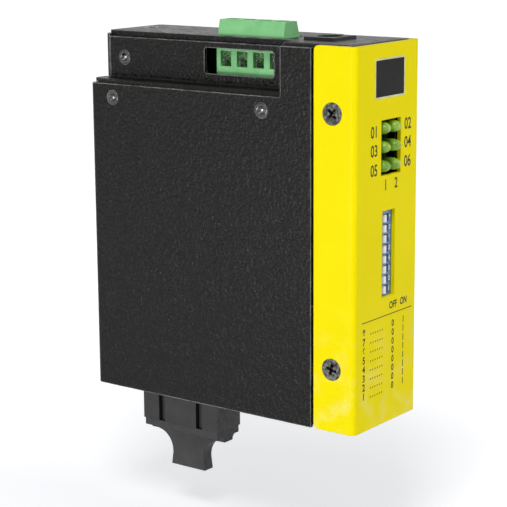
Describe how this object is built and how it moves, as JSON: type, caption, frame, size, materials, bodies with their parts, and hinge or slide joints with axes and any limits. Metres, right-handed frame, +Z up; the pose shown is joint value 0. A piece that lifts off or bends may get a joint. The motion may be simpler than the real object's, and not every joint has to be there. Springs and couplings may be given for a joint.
{
  "type": "fibre media converter",
  "caption": "Slim rail-mounted converter between copper and fibre: folded steel case, front lamps and setting levers, plug-in screw terminals above, sockets below.",
  "frame": {"origin": "middle of the two tapped holes on the outer face of the rear wall, where a rail bracket is screwed on", "axes": "+Y out of the rear face, toward the rail; +Z up, toward the terminal plug; +X across, away from the wiring pocket"},
  "size_m": [0.0286, 0.0837, 0.1216],
  "materials": {
    "black_steel": "fine textured black powder coat on folded steel sheet",
    "yellow_steel": "smooth yellow paint on folded steel sheet",
    "zinc_steel": "zinc-plated steel",
    "board": "glass-fibre board under solder mask",
    "lamp_green": "tinted diffused epoxy",
    "switch_blue": "moulded plastic",
    "white_plastic": "moulded plastic",
    "green_plastic": "moulded polyamide",
    "black_plastic": "moulded plastic",
    "soft_grey": "soft moulded plastic",
    "contact_brass": "plated brass",
    "ceramic_white": "ceramic ferrule sleeve"
  },
  "bodies": {
    "case": {"case_wrap": "black_steel", "chassis": "black_steel", "terminal_pocket": "black_steel", "front_bezel": "yellow_steel", "bezel_screws": "zinc_steel", "board_screws": "zinc_steel", "rivets": "zinc_steel", "port_shield": "zinc_steel", "circuit_board": "board", "lamp_1": "lamp_green", "lamp_2": "lamp_green", "lamp_3": "lamp_green", "lamp_4": "lamp_green", "lamp_5": "lamp_green", "lamp_6": "lamp_green", "lamp_holder": "black_plastic", "power_jack": "black_plastic", "port_insert": "black_plastic", "fibre_transceiver": "black_plastic", "switch_chip": "black_plastic", "magnetics": "black_plastic", "coil_1": "black_plastic", "coil_2": "black_plastic", "capacitor_1": "black_plastic", "capacitor_2": "black_plastic", "lamp_leads": "contact_brass", "switch_pins": "contact_brass", "header_pins": "contact_brass", "jack_pin": "contact_brass", "jack_spring": "contact_brass", "port_contacts": "contact_brass", "transceiver_pins": "contact_brass", "chip_leads": "contact_brass", "crystal": "zinc_steel", "switch_body": "switch_blue", "terminal_header": "green_plastic", "ferrule_sleeves": "ceramic_white"},
    "lever_1": {"switch_lever_1": "white_plastic"},
    "lever_2": {"switch_lever_2": "white_plastic"},
    "lever_3": {"switch_lever_3": "white_plastic"},
    "lever_4": {"switch_lever_4": "white_plastic"},
    "lever_5": {"switch_lever_5": "white_plastic"},
    "lever_6": {"switch_lever_6": "white_plastic"},
    "lever_7": {"switch_lever_7": "white_plastic"},
    "lever_8": {"switch_lever_8": "white_plastic"},
    "plug": {"terminal_plug": "green_plastic", "plug_contacts": "contact_brass"},
    "screw_1": {"clamp_screw_1": "zinc_steel"},
    "cage_1": {"clamp_cage_1": "zinc_steel"},
    "screw_2": {"clamp_screw_2": "zinc_steel"},
    "cage_2": {"clamp_cage_2": "zinc_steel"},
    "screw_3": {"clamp_screw_3": "zinc_steel"},
    "cage_3": {"clamp_cage_3": "zinc_steel"},
    "screw_4": {"clamp_screw_4": "zinc_steel"},
    "cage_4": {"clamp_cage_4": "zinc_steel"},
    "cap": {"dust_plug": "soft_grey"}
  },
  "joints": [
    {"name": "lever_1_rock", "type": "hinge", "parent": "case", "child": "lever_1", "pos_m": [0.0008, -0.0773, -0.01339], "axis": [0, 0, 1], "range_deg": [0, 19.2]},
    {"name": "lever_2_rock", "type": "hinge", "parent": "case", "child": "lever_2", "pos_m": [0.0008, -0.0773, -0.01085], "axis": [0, 0, 1], "range_deg": [0, 19.2]},
    {"name": "lever_3_rock", "type": "hinge", "parent": "case", "child": "lever_3", "pos_m": [0.0008, -0.0773, -0.00831], "axis": [0, 0, 1], "range_deg": [0, 19.2]},
    {"name": "lever_4_rock", "type": "hinge", "parent": "case", "child": "lever_4", "pos_m": [0.0008, -0.0773, -0.00577], "axis": [0, 0, 1], "range_deg": [0, 19.2]},
    {"name": "lever_5_rock", "type": "hinge", "parent": "case", "child": "lever_5", "pos_m": [0.0008, -0.0773, -0.00323], "axis": [0, 0, 1], "range_deg": [0, 19.2]},
    {"name": "lever_6_rock", "type": "hinge", "parent": "case", "child": "lever_6", "pos_m": [0.0008, -0.0773, -0.00069], "axis": [0, 0, 1], "range_deg": [0, 19.2]},
    {"name": "lever_7_rock", "type": "hinge", "parent": "case", "child": "lever_7", "pos_m": [0.0008, -0.0773, 0.00185], "axis": [0, 0, 1], "range_deg": [0, 19.2]},
    {"name": "lever_8_rock", "type": "hinge", "parent": "case", "child": "lever_8", "pos_m": [0.0008, -0.0773, 0.00439], "axis": [0, 0, 1], "range_deg": [0, 19.2]},
    {"name": "plug_pull", "type": "slide", "parent": "case", "child": "plug", "axis": [0, 0, 1], "range_m": [0, 0.012]},
    {"name": "screw_1_turn", "type": "hinge", "parent": "plug", "child": "screw_1", "pos_m": [-0.0025, -0.05332, 0.049], "axis": [0, 0, -1], "range_deg": [0, 1800]},
    {"name": "cage_1_rise", "type": "slide", "parent": "plug", "child": "cage_1", "axis": [0, 0, 1], "range_m": [0, 0.0025]},
    {"name": "screw_2_turn", "type": "hinge", "parent": "plug", "child": "screw_2", "pos_m": [-0.0025, -0.04824, 0.049], "axis": [0, 0, -1], "range_deg": [0, 1800]},
    {"name": "cage_2_rise", "type": "slide", "parent": "plug", "child": "cage_2", "axis": [0, 0, 1], "range_m": [0, 0.0025]},
    {"name": "screw_3_turn", "type": "hinge", "parent": "plug", "child": "screw_3", "pos_m": [-0.0025, -0.04316, 0.049], "axis": [0, 0, -1], "range_deg": [0, 1800]},
    {"name": "cage_3_rise", "type": "slide", "parent": "plug", "child": "cage_3", "axis": [0, 0, 1], "range_m": [0, 0.0025]},
    {"name": "screw_4_turn", "type": "hinge", "parent": "plug", "child": "screw_4", "pos_m": [-0.0025, -0.03808, 0.049], "axis": [0, 0, -1], "range_deg": [0, 1800]},
    {"name": "cage_4_rise", "type": "slide", "parent": "plug", "child": "cage_4", "axis": [0, 0, 1], "range_m": [0, 0.0025]},
    {"name": "cap_pull", "type": "slide", "parent": "case", "child": "cap", "axis": [0, 0, -1], "range_m": [0, 0.012]}
  ],
  "couplings": [
    {"joint": "screw_1_turn", "follows": "cage_1_rise", "rad_per_m": 12566},
    {"joint": "screw_2_turn", "follows": "cage_2_rise", "rad_per_m": 12566},
    {"joint": "screw_3_turn", "follows": "cage_3_rise", "rad_per_m": 12566},
    {"joint": "screw_4_turn", "follows": "cage_4_rise", "rad_per_m": 12566}
  ]
}
